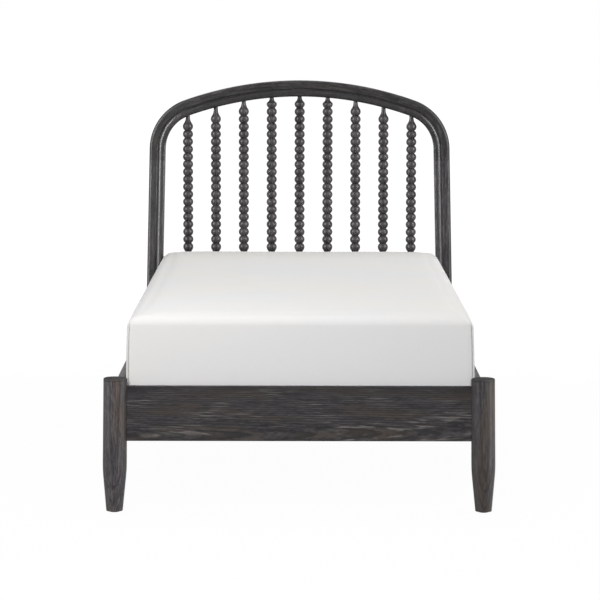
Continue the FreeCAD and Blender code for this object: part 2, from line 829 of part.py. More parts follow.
def fastener_nodes():
    """Groups of like fasteners, each solid by itself."""
    ends = (foot_end(), head_end())
    places = (leg_glide_place(), post_glide_place())
    groups = {
        "arch_dowels": both_sides([dowel(*place) for place in arch_dowel_places()]),
        "foot_rail_dowels": both_sides([dowel(middle, X_AXIS) for middle in foot_dowel_places()]),
        "rail_hook_plates": both_sides([hook_plate(end) for end in ends]),
        "hook_plate_pins": both_sides([pin for end in ends for pin in hook_pins(end)]),
        "post_slot_plates": both_sides([slot_plate(end) for end in ends]),
        "slot_plate_screws": both_sides([screw for end in ends for screw in plate_screws(end)]),
        "ledger_screws": both_sides(ledger_screws()),
        "slat_screws": [screw for y in slat_centres for screw in slat_screws(y)],
        "floor_glides": both_sides([floor_glide(place) for place in places]),
    }
    return {name: Part.makeCompound(solids) for name, solids in groups.items()}


def soft_nodes():
    return {"mattress": mattress(), "fitted_sheet": fitted_sheet()}


os.makedirs("parts", exist_ok=True)
for make_nodes in (frame_nodes, base_nodes, fastener_nodes, soft_nodes):
    for node, shape in make_nodes().items():
        shape.exportStep("parts/%s.step" % node)
        print(node, len(shape.Solids), "solids", shape.isValid(), round(shape.Volume / 1000, 1), "cm3")
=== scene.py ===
"""Platform bed in charcoal oak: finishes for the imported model, the mattress and its fitted sheet as
soft pieces, and the studio. Metres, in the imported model's own frame."""

import math

import bpy
import numpy as np
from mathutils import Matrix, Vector


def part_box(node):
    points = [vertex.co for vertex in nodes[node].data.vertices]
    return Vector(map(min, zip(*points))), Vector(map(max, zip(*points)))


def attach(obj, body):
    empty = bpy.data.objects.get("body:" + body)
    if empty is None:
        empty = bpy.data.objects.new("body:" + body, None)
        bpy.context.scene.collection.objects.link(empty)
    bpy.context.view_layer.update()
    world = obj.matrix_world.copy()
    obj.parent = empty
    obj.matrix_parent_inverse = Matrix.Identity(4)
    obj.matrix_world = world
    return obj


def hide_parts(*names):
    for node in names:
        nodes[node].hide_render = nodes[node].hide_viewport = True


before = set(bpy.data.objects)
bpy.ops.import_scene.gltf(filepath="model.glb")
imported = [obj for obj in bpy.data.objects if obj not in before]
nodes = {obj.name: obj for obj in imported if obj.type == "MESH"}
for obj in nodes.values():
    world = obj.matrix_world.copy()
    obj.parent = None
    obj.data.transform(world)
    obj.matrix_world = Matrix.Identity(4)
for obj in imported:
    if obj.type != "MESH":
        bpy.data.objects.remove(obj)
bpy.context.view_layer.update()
scene = bpy.context.scene

# Sockets of the Mix node when it mixes colours
MIX_A = 6
MIX_B = 7
MIX_RESULT = 2

# Outputs of the Texture Coordinate node
FROM_UV = 2
FROM_OBJECT = 3

# Output of the Attribute node that gives one number
ATTRIBUTE_VALUE = 2


class Value:
    """One shader socket that takes part in arithmetic: each operation adds a Math node."""

    def __init__(self, finish, socket):
        self.finish = finish
        self.socket = socket

    def math(self, operation, *operands):
        return self.finish.add("ShaderNodeMath", {"operation": operation}, dict(enumerate(operands)))

    def __add__(self, other):
        return self.math("ADD", self, other)

    def __radd__(self, other):
        return self.math("ADD", other, self)

    def __sub__(self, other):
        return self.math("SUBTRACT", self, other)

    def __rsub__(self, other):
        return self.math("SUBTRACT", other, self)

    def __mul__(self, other):
        return self.math("MULTIPLY", self, other)

    def __rmul__(self, other):
        return self.math("MULTIPLY", other, self)

    def __truediv__(self, other):
        return self.math("DIVIDE", self, other)

    def __rtruediv__(self, other):
        return self.math("DIVIDE", other, self)

    def __pow__(self, other):
        return self.math("POWER", self, other)

    def __rpow__(self, other):
        return self.math("POWER", other, self)


class Finish:
    """A material with one Principled shader. Constants go straight onto its sockets."""

    def __init__(self, name, constants):
        self.material = bpy.data.materials.new(name)
        self.material.use_nodes = True
        self.tree = self.material.node_tree
        self.shader = self.tree.nodes["Principled BSDF"]
        for socket, constant in constants.items():
            self.shader.inputs[socket].default_value = constant

    def add(self, kind, settings, inputs, output=0):
        """Add one node: its settings first, then the values or links of its sockets. An output node
        gives no value."""
        node = self.tree.nodes.new(kind)
        for name, setting in settings.items():
            setattr(node, name, setting)
        for key, value in inputs.items():
            if isinstance(value, Value):
                self.tree.links.new(value.socket, node.inputs[key])
            else:
                node.inputs[key].default_value = value
        return Value(self, node.outputs[output]) if node.outputs else None

    def place(self, source=FROM_OBJECT):
        """The place of a point in the object, or on its flat coordinates."""
        return self.add("ShaderNodeTexCoord", {}, {}, source)

    def parts(self, vector):
        """The three numbers of a vector."""
        split = self.add("ShaderNodeSeparateXYZ", {}, {0: vector})
        return [Value(self, socket) for socket in split.socket.node.outputs]

    def vector(self, x, y, z):
        return self.add("ShaderNodeCombineXYZ", {}, {0: x, 1: y, 2: z})

    def noise(self, vector, scale=1.0, detail=2.0, roughness=0.5):
        inputs = {"Vector": vector, "Scale": scale, "Detail": detail, "Roughness": roughness}
        return self.add("ShaderNodeTexNoise", {}, inputs)

    def stretch(self, place, counts):
        """A vector with so many units for each metre along the three ways of a place."""
        return self.vector(*[way * count for way, count in zip(place, counts)])

    def waves(self, place, counts, detail, roughness=0.5):
        """Noise with so many waves for each metre along the three ways of a place."""
        return self.noise(self.stretch(place, counts), detail=detail, roughness=roughness)

    def step(self, value, low, high):
        """0 below low, 1 above high, and smooth between them."""
        inputs = {"Value": value, "From Min": low, "From Max": high}
        return self.add("ShaderNodeMapRange", {"interpolation_type": "SMOOTHSTEP"}, inputs)

    def mix(self, share, first, second):
        """A colour between two colours."""
        settings = {"data_type": "RGBA"}
        return self.add("ShaderNodeMix", settings, {0: share, MIX_A: first, MIX_B: second}, MIX_RESULT)

    def feed(self, socket, value):
        """Link a value to a socket of the Principled shader."""
        self.tree.links.new(value.socket, self.shader.inputs[socket])

    def relief(self, height, distance, strength):
        """Surface relief from a height that goes from 0 to 1."""
        inputs = {"Strength": strength, "Distance": distance, "Height": height}
        self.feed("Normal", self.add("ShaderNodeBump", {}, inputs))


# Curve of screen values: straight below its knee, and a power above it
SCREEN_WHITE = 255
CURVE_KNEE = 0.04045
CURVE_SLOPE = 12.92
CURVE_OFFSET = 0.055
CURVE_POWER = 2.4


def shade(red, green, blue, light=1.0):
    """Linear colour of screen values from 0 to 255, scaled by a light."""
    screen = np.array([red, green, blue]) * light / SCREEN_WHITE
    curved = ((screen + CURVE_OFFSET) / (1 + CURVE_OFFSET)) ** CURVE_POWER
    linear = np.where(screen <= CURVE_KNEE, screen / CURVE_SLOPE, curved)
    return (float(linear[0]), float(linear[1]), float(linear[2]), 1.0)


# Wood: a place in a board is along the grain, then two ways across it
ALONG = 0
FIRST_WAY = 1
SECOND_WAY = 2

# Waves of the growth rings for each metre along the grain and the two ways across it
RING_WAVES = (2.2, 13.0, 13.0)
RING_DETAIL = 3.0

# Height of the grain's relief
WOOD_RELIEF = 0.0003

# Oak's colours in screen values: dark and light early wood, brown patches and late wood
OAK_DARK = (27, 25, 28)
OAK_LIGHT = (86, 82, 85)
OAK_BROWN = (82, 71, 62)
OAK_LATE = (26, 25, 26)

# Oak's colours that no light scales: brushed hairlines, pores and painted shade
OAK_BRUSHED = shade(124, 121, 118)
OAK_PORE = shade(18, 17, 18)
OAK_PAINTED_SHADE = shade(24, 24, 27)

# Oak's patterns: waves for each metre along the grain, from ring to ring and over the spread, then the
# noise's detail and roughness, then the levels between which the pattern sets in
OAK_PATTERNS = {
    "line": ((12.0, 260.0, 1.0), 1.0, 0.5, (0.42, 0.58)),
    "dash": ((45.0, 420.0, 1.0), 1.0, 0.5, (0.45, 0.56)),
    "fine": ((13.0, 150.0, 1.0), 4.0, 0.65, (0.36, 0.66)),
    "hair": ((15.0, 420.0, 1.0), 1.0, 0.5, (0.5, 0.64)),
    "pore": ((60.0, 1300.0, 8.0), 1.0, 0.5, (0.6, 0.72)),
}
STREAK_SHARES = {"line": 0.3, "fine": 0.3, "dash": 0.4}

# Brown patches, and the blotches in which hairlines show, moved along so that they don't follow the
# patches
PATCH_WAVES = (5.0, 30.0, 30.0)
PATCH_DETAIL = 3.0
PATCH_LEVELS = (0.42, 0.66)
BLOTCH_WAVES = (6.0, 26.0, 26.0)
BLOTCH_DETAIL = 2.0
BLOTCH_LEVELS = (0.4, 0.62)
BLOTCH_SHIFT = 7.0 / 6.0

# Levels within a ring at which oak's late wood rises and ends
OAK_RISE = (0.35, 0.9)
OAK_FALL = (0.92, 1.0)

# Shares of the patterns in oak's colour, roughness and relief
WARM_LEAST = 0.4
LATE_UNBRUSHED = 0.7
PORE_SHARE = 0.5
FINE_DULL = 0.1
PORE_DULL = 0.2
LATE_POLISH = 0.03
PAINTED_SHADE_DULL = 0.4
FINE_HEIGHT = 0.55
LINE_HEIGHT = 0.3
LATE_HEIGHT = 0.35
PORE_DEPTH = 0.5


def grain_along(axis, lean=0.0):
    """Straight grain along an axis. Its first way across may lean by so much for each metre along."""
    order = {"x": (0, 1, 2), "y": (1, 0, 2), "z": (2, 0, 1)}[axis]

    def read(finish):
        place = finish.parts(finish.place())
        along, first, second = [place[index] for index in order]
        return [along, first + along * lean, second]

    return read


def grain_round(centre_x, centre_z, radius):
    """Grain bent round a centre: arc length, depth and distance from the centre."""

    def read(finish):
        x, y, z = finish.parts(finish.place())
        across = x - centre_x
        up = z - centre_z
        turn = across.math("ARCTAN2", across, up)
        reach = (across * across + up * up) ** 0.5
        return [turn * radius, y, reach]

    return read


def growth_rings(finish, place, pith, tilt, pitch, warp):
    """Share of the way through a growth ring, and the distance from the pith. A ring is a circle round
    the pith, which is tilted to the board and waved by noise, so a flat face shows long arches."""
    along, first, second = place
    wave = finish.waves(place, RING_WAVES, RING_DETAIL) - 0.5
    side = first - pith[0] - along * tilt[0]
    rise = second - pith[1] - along * tilt[1]
    reach = (side * side + rise * rise) ** 0.5 + wave * warp
    return (reach / pitch).math("FRACT", reach / pitch), reach


def late_wood(finish, ring, rise, fall):
    """Share of late wood: it rises through a ring and ends sharply with it."""
    return finish.step(ring, *rise) * (1.0 - finish.step(ring, *fall))


def charcoal_oak(name, grain, pith, tilt=(0.02, 0.01), light=1.0, brown=0.3, pale=0.5, pitch=0.0054,
                 warp=0.008, rings=0.75, spread=60.0, rough=0.38, gloss=0.3, relief=0.5, painted_shade=()):
    """Wire-brushed oak under a charcoal stain. Late wood is dark, early wood a little lighter and in
    places brown, brushing leaves pale hairlines that follow the rings, and the pores are short dark
    dashes. The light scales the stain; it is set board by board, and part of it is painted light and
    shade. Brown, pale and rings are the shares of brown patches, hairlines and late wood, pitch and warp
    are the rings' distance and waviness, and the spread says how fast the figure changes across a face.
    Each row of painted_shade names one coordinate, the two values between which painted shade darkens
    and dulls the wood, and its share."""
    finish = Finish(name, {"Specular IOR Level": gloss})
    place = grain(finish)
    along, first, second = place
    ring, reach = growth_rings(finish, place, pith, tilt, pitch, warp)
    late = late_wood(finish, ring, OAK_RISE, OAK_FALL)
    ringed = (along, reach, (first + second) * spread)
    noise = {}
    mask = {}
    for kind, (counts, detail, roughness, levels) in OAK_PATTERNS.items():
        noise[kind] = finish.waves(ringed, counts, detail, roughness)
        mask[kind] = finish.step(noise[kind], *levels)
    streak = sum(mask[kind] * share for kind, share in STREAK_SHARES.items())
    patch = finish.step(finish.waves(place, PATCH_WAVES, PATCH_DETAIL), *PATCH_LEVELS)
    shifted = (along + BLOTCH_SHIFT, first, second)
    blotch = finish.step(finish.waves(shifted, BLOTCH_WAVES, BLOTCH_DETAIL), *BLOTCH_LEVELS)
    warm = patch * (WARM_LEAST + streak * (1.0 - WARM_LEAST)) * brown
    brushed = mask["hair"] * blotch * (1.0 - late * LATE_UNBRUSHED)
    stain = finish.mix(streak, shade(*OAK_DARK, light), shade(*OAK_LIGHT, light))
    stain = finish.mix(warm, stain, shade(*OAK_BROWN, light))
    stain = finish.mix(late * rings, stain, shade(*OAK_LATE, light))
    stain = finish.mix(brushed * pale, stain, OAK_BRUSHED)
    stain = finish.mix(mask["pore"] * PORE_SHARE, stain, OAK_PORE)
    dull = rough + noise["fine"] * FINE_DULL + mask["pore"] * PORE_DULL - late * LATE_POLISH
    # Painted shade: each row darkens the stain and dulls it between two values of one coordinate
    for which, low, high, share in painted_shade:
        shadow = finish.step(place[which], low, high) * share
        stain = finish.mix(shadow, stain, OAK_PAINTED_SHADE)
        dull = dull + shadow * PAINTED_SHADE_DULL
    finish.feed("Base Color", stain)
    finish.feed("Roughness", dull)
    height = noise["fine"] * FINE_HEIGHT + noise["line"] * LINE_HEIGHT + late * LATE_HEIGHT
    finish.relief(height - mask["pore"] * PORE_DEPTH, WOOD_RELIEF, relief)
    return finish.material


# Pine of the deck: colours, rings, and waves along the grain and the two ways across it
PINE_PALE = shade(226, 197, 152)
PINE_GOLD = shade(214, 180, 130)
PINE_LATE = shade(184, 136, 82)
PINE_RESIN = shade(196, 158, 108)
KNOT_BROWN = shade(112, 70, 40)
PINE_PITCH = 0.011
PINE_WARP = 0.03
PINE_RISE = (0.3, 0.92)
PINE_FALL = (0.94, 1.0)
RESIN_WAVES = (9.0, 420.0, 420.0)
RESIN_DETAIL = 3.0
RESIN_LEVELS = (0.4, 0.75)
CLOUD_WAVES = (2.5, 6.0, 6.0)
CLOUD_DETAIL = 2.0
KNOT_CELLS = (2.1, 5.3, 5.3)
KNOT_EDGE = (0.02, 0.075)
BARE_WOOD_GLOSS = 0.35


def deck_pine(name, grain, pith, tilt):
    """Planed pine with wide soft rings, resin lines and small knots."""
    finish = Finish(name, {"Specular IOR Level": BARE_WOOD_GLOSS})
    place = grain(finish)
    ring, _ = growth_rings(finish, place, pith, tilt, PINE_PITCH, PINE_WARP)
    late = late_wood(finish, ring, PINE_RISE, PINE_FALL)
    resin = finish.waves(place, RESIN_WAVES, RESIN_DETAIL)
    cloud = finish.waves(place, CLOUD_WAVES, CLOUD_DETAIL)
    cells = {"Vector": finish.stretch(place, KNOT_CELLS), "Scale": 1.0}
    knot = 1.0 - finish.step(finish.add("ShaderNodeTexVoronoi", {}, cells), *KNOT_EDGE)
    wood = finish.mix(late * 0.75, finish.mix(cloud, PINE_PALE, PINE_GOLD), PINE_LATE)
    wood = finish.mix(finish.step(resin, *RESIN_LEVELS) * 0.3, wood, PINE_RESIN)
    finish.feed("Base Color", finish.mix(knot * 0.85, wood, KNOT_BROWN))
    finish.feed("Roughness", 0.52 + resin * 0.16 - knot * 0.1)
    finish.relief(late * 0.4 + resin * 0.4, WOOD_RELIEF, 0.4)
    return finish.material


# Beech of the dowels: colours, and waves for each metre along the axes
BEECH_PALE = shade(222, 186, 148)
BEECH_PINK = shade(196, 154, 114)
BEECH_FLECK = shade(142, 98, 66)
FLECK_WAVES = (260.0, 900.0, 260.0)
FLECK_DETAIL = 2.0
FLECK_LEVELS = (0.6, 0.7)
STREAK_WAVES = (60.0, 300.0, 60.0)
STREAK_DETAIL = 3.0
BEECH_RELIEF = 0.0002


def turned_beech(name):
    """Plain beech of the dowels: pale pinkish, with small dark flecks along X and Z."""
    finish = Finish(name, {"Specular IOR Level": BARE_WOOD_GLOSS})
    place = finish.parts(finish.place())
    fleck = finish.step(finish.waves(place, FLECK_WAVES, FLECK_DETAIL), *FLECK_LEVELS)
    streak = finish.waves(place, STREAK_WAVES, STREAK_DETAIL)
    wood = finish.mix(streak, BEECH_PALE, BEECH_PINK)
    finish.feed("Base Color", finish.mix(fleck * 0.6, wood, BEECH_FLECK))
    finish.feed("Roughness", 0.55 + streak * 0.12)
    finish.relief(streak, BEECH_RELIEF, 0.4)
    return finish.material


# Zinc on steel: colours, and waves for each metre along the axes
ZINC_PALE = shade(176, 178, 182)
PLATE_ZINC = shade(150, 152, 156)
SCREW_ZINC = shade(164, 158, 132)
ZINC_CLOUD_WAVES = (90.0, 90.0, 90.0)
ZINC_CLOUD_DETAIL = 4.0
ROLLING_WAVES = (2500.0, 120.0, 120.0)
ROLLING_DETAIL = 1.0
FINE_RELIEF = 0.0001


def plated_steel(name, tint, rough):
    """Zinc-plated steel: cloudy patches and fine rolling lines."""
    finish = Finish(name, {"Metallic": 1.0})
    place = finish.parts(finish.place())
    cloud = finish.waves(place, ZINC_CLOUD_WAVES, ZINC_CLOUD_DETAIL)
    line = finish.waves(place, ROLLING_WAVES, ROLLING_DETAIL)
    finish.feed("Base Color", finish.mix(cloud, tint, ZINC_PALE))
    finish.feed("Roughness", rough + cloud * 0.15 + line * 0.06)
    finish.relief(line * 0.6 + cloud * 0.4, FINE_RELIEF, 0.3)
    return finish.material


# Plastic of the glides: colours, and waves for each metre
PLASTIC_DARK = shade(52, 48, 45)
PLASTIC_SCUFFED = shade(96, 92, 88)
GRIT_WAVES = 900.0
GRIT_DETAIL = 2.0
SCUFF_WAVES = 140.0
SCUFF_DETAIL = 3.0
SCUFF_LEVELS = (0.52, 0.7)


def moulded_plastic(name):
    """Dark moulded plastic of the glides, scuffed under the foot."""
    finish = Finish(name, {"Specular IOR Level": 0.45})
    place = finish.place()
    grit = finish.noise(place, GRIT_WAVES, GRIT_DETAIL)
    scuff = finish.step(finish.noise(place, SCUFF_WAVES, SCUFF_DETAIL), *SCUFF_LEVELS)
    finish.feed("Base Color", finish.mix(scuff * 0.5, PLASTIC_DARK, PLASTIC_SCUFFED))
    finish.feed("Roughness", 0.42 + scuff * 0.25)
    finish.relief(grit, FINE_RELIEF, 0.4)
    return finish.material


# Cotton: colours, and patterns as waves for each metre across and down the cloth, layer and detail of
# the noise
COTTON_COOL = shade(233, 233, 234)
COTTON_WARM = shade(236, 234, 230)
COTTON_GAP = shade(216, 215, 214)
COTTON_MOTTLE = shade(222, 221, 220)
# Grey of the painted shade along the corner seams
SEAM_SHADE = shade(118, 117, 116)
WARP_THREADS = (1500.0, 45.0, 0.0, 1.0)
WEFT_THREADS = (45.0, 1500.0, 3.0, 1.0)
COTTON_DRIFT = (2.2, 2.2, 5.0, 2.0)
MOTTLE = (26.0, 26.0, 9.0, 3.0)
THREAD_LEVELS = (0.35, 0.65)
DRIFT_LEVELS = (0.3, 0.7)
MOTTLE_LEVELS = (0.5, 0.8)
THREAD_RELIEF = 0.00025


def cotton_percale(name):
    """White cotton in a plain weave, on the cloth's own flat coordinates: uneven threads both ways, a
    soft mottle, a faint warm or cool drift over the width, and painted shade as a grey line along the
    corner seams."""
    finish = Finish(name, {"Specular IOR Level": 0.2, "Sheen Weight": 0.12, "Sheen Roughness": 0.5})
    across, down, _ = finish.parts(finish.place(FROM_UV))

    def woven(pattern):
        wide, long, layer, detail = pattern
        return finish.noise(finish.vector(across * wide, down * long, layer), detail=detail)

    thread = woven(WARP_THREADS) * 0.5 + woven(WEFT_THREADS) * 0.5
    cloth = finish.mix(finish.step(woven(COTTON_DRIFT), *DRIFT_LEVELS), COTTON_COOL, COTTON_WARM)
    cloth = finish.mix(finish.step(thread, *THREAD_LEVELS) * 0.12, cloth, COTTON_GAP)
    cloth = finish.mix(finish.step(woven(MOTTLE), *MOTTLE_LEVELS) * 0.1, cloth, COTTON_MOTTLE)
    # Painted shade: the seam attribute greys the cloth along the corner seams
    seam = finish.add("ShaderNodeAttribute", {"attribute_name": "seam"}, {}, ATTRIBUTE_VALUE)
    finish.feed("Base Color", finish.mix(seam, cloth, SEAM_SHADE))
    finish.feed("Roughness", 0.82 + thread * 0.1)
    finish.relief(thread, THREAD_RELIEF, 0.35)
    return finish.material


# Ticking: colours, the stitches' turn in radians for each metre, and waves for each metre
YARN_DARK = shade(206, 203, 198)
YARN_PALE = shade(232, 230, 226)
YARN_DRIFT = shade(214, 210, 203)
STITCH_TURN = 520.0
YARN_WAVES = (6.0, 6.0, 6.0)
YARN_DETAIL = 3.0
STITCH_RELIEF = 0.0006


def knitted_ticking(name):
    """Off-white knitted mattress cover: small diamond stitches in rows."""
    finish = Finish(name, {"Specular IOR Level": 0.2, "Sheen Weight": 0.1})
    place = finish.parts(finish.place())
    x, y, _ = place
    row = (x + y).math("SINE", (x + y) * STITCH_TURN)
    crossing = (x - y).math("SINE", (x - y) * STITCH_TURN)
    stitch = row * crossing * 0.5 + 0.5
    drift = finish.waves(place, YARN_WAVES, YARN_DETAIL)
    yarn = finish.mix(stitch, YARN_DARK, YARN_PALE)
    finish.feed("Base Color", finish.mix(drift * 0.4, yarn, YARN_DRIFT))
    finish.feed("Roughness", 0.85 - stitch * 0.08)
    finish.relief(stitch, STITCH_RELIEF, 0.5)
    return finish.material


# Places that the finishes need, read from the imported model
crown_low, crown_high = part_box("crown_rail")
rail_low, rail_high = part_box("foot_rail")
leg_low, leg_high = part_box("right_foot_leg")
post_low, post_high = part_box("right_post")
middle_y = (crown_low.y + crown_high.y) / 2
leg_middle_x = (leg_low.x + leg_high.x) / 2

# Headboard: lean of the posts, radii and centres of the arch's outer edge, the width of its rounded
# edge, and the share of painted shade that darkens and dulls that edge and tones down its highlight
POST_LEAN = math.tan(math.radians(1.42))
CROWN_RADIUS = 1.209
CROWN_CENTRE_Z = crown_high.z - CROWN_RADIUS
SHOULDER_RADIUS = 0.183
SHOULDER_CENTRE_X = 0.347
SHOULDER_CENTRE_Z = 0.917
EDGE_ROUND = 0.011
EDGE_PAINTED_SHADE = 0.6
post_edge = post_high.x + post_low.z * POST_LEAN
# Painted shade on the outer rounded edges of the shoulders and posts
shoulder_edge_shade = (SECOND_WAY, SHOULDER_RADIUS - EDGE_ROUND, SHOULDER_RADIUS, EDGE_PAINTED_SHADE)
left_post_edge_shade = (FIRST_WAY, EDGE_ROUND - post_edge, -post_edge, EDGE_PAINTED_SHADE)
right_post_edge_shade = (FIRST_WAY, post_edge - EDGE_ROUND, post_edge, EDGE_PAINTED_SHADE)

# Crown: from where to where below its outer edge painted shade darkens it towards the bead, and by what
# share
CROWN_PAINTED_SHADE = (0.018, 0.024, 0.45)
crown_inside_shade = (SECOND_WAY, CROWN_RADIUS - CROWN_PAINTED_SHADE[0], CROWN_RADIUS - CROWN_PAINTED_SHADE[1], CROWN_PAINTED_SHADE[2])

# Foot rail: from where below its top to where above it painted shade darkens it along the top, and by
# what share
RAIL_PAINTED_SHADE = (0.05, 0.002, 0.6)
rail_top_shade = (SECOND_WAY, rail_high.z - RAIL_PAINTED_SHADE[0], rail_high.z + RAIL_PAINTED_SHADE[1], RAIL_PAINTED_SHADE[2])

# Legs: distance of the pith behind them, and where painted shade darkens them: on the rounded rim and on
# the flat top, from where to where below the top, and to the left, from where to where beside the
# middle, each with its share
LEG_PITH = 0.055
LEG_RIM_SHADE = (0.0095, 0.0075, 0.4)
LEG_TOP_SHADE = (0.0016, 0.0004, 0.7)
LEG_LEFT_SHADE = (0.016, -0.03, 0.42)
leg_behind_y = leg_high.y + LEG_PITH

SPINDLES = 9
SLATS = 14


def leg_painted_shades(middle_x):
    """Rows of painted shade for a leg at a place: its rounded rim, its flat top and its left side."""
    return [
        (ALONG, leg_high.z - LEG_RIM_SHADE[0], leg_high.z - LEG_RIM_SHADE[1], LEG_RIM_SHADE[2]),
        (ALONG, leg_high.z - LEG_TOP_SHADE[0], leg_high.z - LEG_TOP_SHADE[1], LEG_TOP_SHADE[2]),
        (FIRST_WAY, middle_x + LEG_LEFT_SHADE[0], middle_x + LEG_LEFT_SHADE[1], LEG_LEFT_SHADE[2]),
    ]


def wear(names, material):
    """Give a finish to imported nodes."""
    for name in names:
        for slot in nodes[name].material_slots:
            slot.material = material


def numbered(name, count, form="%s_%d"):
    """Names of pieces that are counted from 1."""
    return [form % (name, number) for number in range(1, count + 1)]


# Boards of the headboard, each with its own cut and a light that scales its stain: part of it is the
# board's tone, and part is painted light and shade, as between left and right
frame_look = {"pale": 0.3, "rings": 0.5, "relief": 0.2}
wear(["crown_rail"], charcoal_oak(
    "crown_oak", grain_round(0.0, CROWN_CENTRE_Z, CROWN_RADIUS), pith=(middle_y + 0.05, 1.17), light=0.77,
    brown=0.45, pale=0.25, rings=0.5, rough=0.3, gloss=0.28, relief=0.3, painted_shade=[crown_inside_shade]))
wear(["left_shoulder"], charcoal_oak(
    "left_shoulder_oak", grain_round(-SHOULDER_CENTRE_X, SHOULDER_CENTRE_Z, SHOULDER_RADIUS),
    pith=(middle_y + 0.04, 0.15), light=0.66, brown=0.6, rough=0.27, gloss=0.46, painted_shade=[shoulder_edge_shade],
    **frame_look))
wear(["right_shoulder"], charcoal_oak(
    "right_shoulder_oak", grain_round(SHOULDER_CENTRE_X, SHOULDER_CENTRE_Z, SHOULDER_RADIUS),
    pith=(middle_y + 0.05, 0.14), light=0.74, brown=0.2, rough=0.28, gloss=0.34, painted_shade=[shoulder_edge_shade],
    **frame_look))
wear(["left_post"], charcoal_oak(
    "left_post_oak", grain_along("z", -POST_LEAN), pith=(-post_low.x - 0.09, middle_y + 0.05), light=0.8,
    brown=0.1, rough=0.28, gloss=0.58, painted_shade=[left_post_edge_shade], **frame_look))
wear(["right_post"], charcoal_oak(
    "right_post_oak", grain_along("z", POST_LEAN), pith=(post_low.x + 0.1, middle_y + 0.06), light=1.06,
    brown=0.05, rough=0.28, gloss=0.34, painted_shade=[right_post_edge_shade], **frame_look))
wear(numbered("spindle", SPINDLES), charcoal_oak(
    "spindle_oak", grain_along("z"), pith=(0.03, middle_y + 0.06), tilt=(0.01, 0.01), light=1.16,
    brown=0.2, pale=0.2, rings=0.4, rough=0.34, gloss=0.32, relief=0.1))
wear(["headboard_lower_rail"], charcoal_oak(
    "lower_rail_oak", grain_along("x"), pith=(middle_y + 0.06, 0.47), pale=0.4))

# Boards and legs of the frame; here too each light carries painted light and shade, as between the two
# legs
leg_look = {"pitch": 0.0048, "warp": 0.006, "rings": 0.5, "spread": 240.0, "rough": 0.4, "gloss": 0.28}
wear(["foot_rail"], charcoal_oak(
    "foot_rail_oak", grain_along("x"), pith=(rail_low.y + 0.036, rail_low.z + 0.02), tilt=(0.032, 0.01),
    light=0.86, brown=0.8, pale=0.8, painted_shade=[rail_top_shade]))
wear(["left_foot_leg"], charcoal_oak(
    "left_leg_oak", grain_along("z"), pith=(-leg_middle_x, leg_behind_y), tilt=(0.006, 0.01), light=1.24,
    brown=0.9, pale=0.35, painted_shade=leg_painted_shades(-leg_middle_x), **leg_look))
wear(["right_foot_leg"], charcoal_oak(
    "right_leg_oak", grain_along("z"), pith=(leg_middle_x - 0.008, leg_behind_y), tilt=(0.004, 0.01),
    light=1.02, brown=0.95, pale=0.3, painted_shade=leg_painted_shades(leg_middle_x), **leg_look))
wear(["left_side_rail", "right_side_rail"], charcoal_oak(
    "side_rail_oak", grain_along("y"), pith=(0.45, rail_low.z + 0.05), tilt=(0.03, 0.01), light=1.3,
    pale=0.6, rough=0.5, gloss=0.22))

# Deck, joints and glides
wear(["left_ledger", "right_ledger"], deck_pine(
    "ledger_pine", grain_along("y"), pith=(0.3, 0.22), tilt=(0.02, 0.01)))
wear(numbered("slat", SLATS, "%s_%02d"), deck_pine(
    "slat_pine", grain_along("x"), pith=(0.0, 0.16), tilt=(0.25, 0.03)))
wear(["arch_dowels", "foot_rail_dowels"], turned_beech("dowel_beech"))
wear(["rail_hook_plates", "hook_plate_pins", "post_slot_plates"],
     plated_steel("plate_zinc", PLATE_ZINC, rough=0.34))
wear(["slot_plate_screws", "ledger_screws", "slat_screws"],
     plated_steel("screw_zinc", SCREW_ZINC, rough=0.3))
wear(["floor_glides"], moulded_plastic("glide_plastic"))

# Mattress: corner radius in plan, radii of the rolls and the low edge, height of the crown, lean of the
# sides, fall of the top towards the foot end, extra width, and offset to the right
PLAN_CORNER = 0.019
SIDE_ROLL = 0.038
END_ROLL = 0.028
LOW_EDGE = 0.014
TOP_CROWN = 0.004
CROWN_POWERS = (8, 16)
SIDE_LEAN = 0.004
FOOT_FALL = 0.006
FOOT_FALL_LENGTH = 0.36
FULLNESS = 0.001
LIES_RIGHT = 0.003
PAD_SETBACK = 0.0004
UNDERSIDE_MARGIN = 0.0005

# Fitted sheet: hem under the mattress, clearance and thickness
SHEET_HEM = 0.09
SHEET_CLEARANCE = 0.0006
SHEET_THICKNESS = 0.0009

# Corner seams: groove, the lips beside it in seam widths, and puckers with their turn from corner to
# corner and their slant
SEAM_DEPTH = 0.003
SEAM_WIDTH = 0.0024
SEAM_LIP = 0.0006
LIP_PLACE = 3.0
LIP_WIDTH = 1.5
PUCKER_HEIGHT = 0.0006
PUCKER_PITCH = 0.021
PUCKER_REACH = 0.011
PUCKER_TURN = 1.7
PUCKER_SLANT = 25.0

# Steps of the mesh along the short and long sides and half a corner, how a corner's points are spread,
# and rows on the rim, the roll, the side, the low edge and the hem
SHORT_STEPS = 64
LONG_STEPS = 160
CORNER_STEPS = 12
EVEN_SPREAD = 0.2
CROWDED_SPREAD = 0.8
RIM_ROWS = 4
ROLL_ROWS = 13
SIDE_ROWS = 27
TUCK_ROWS = 6
HEM_ROWS = 7

# Swelling: how far inside the cover starts, cap on its way out, pressure, frames, share of the roll
# over which it fades out, quality and mass of the cloth
SWELL_START = 0.002
SWELL_CAP = 0.0035
SWELL_PRESSURE = 4.0
SWELL_FRAMES = 20
SWELL_FADE = 0.8
SWELL_QUALITY = 5
SWELL_MASS = 0.3

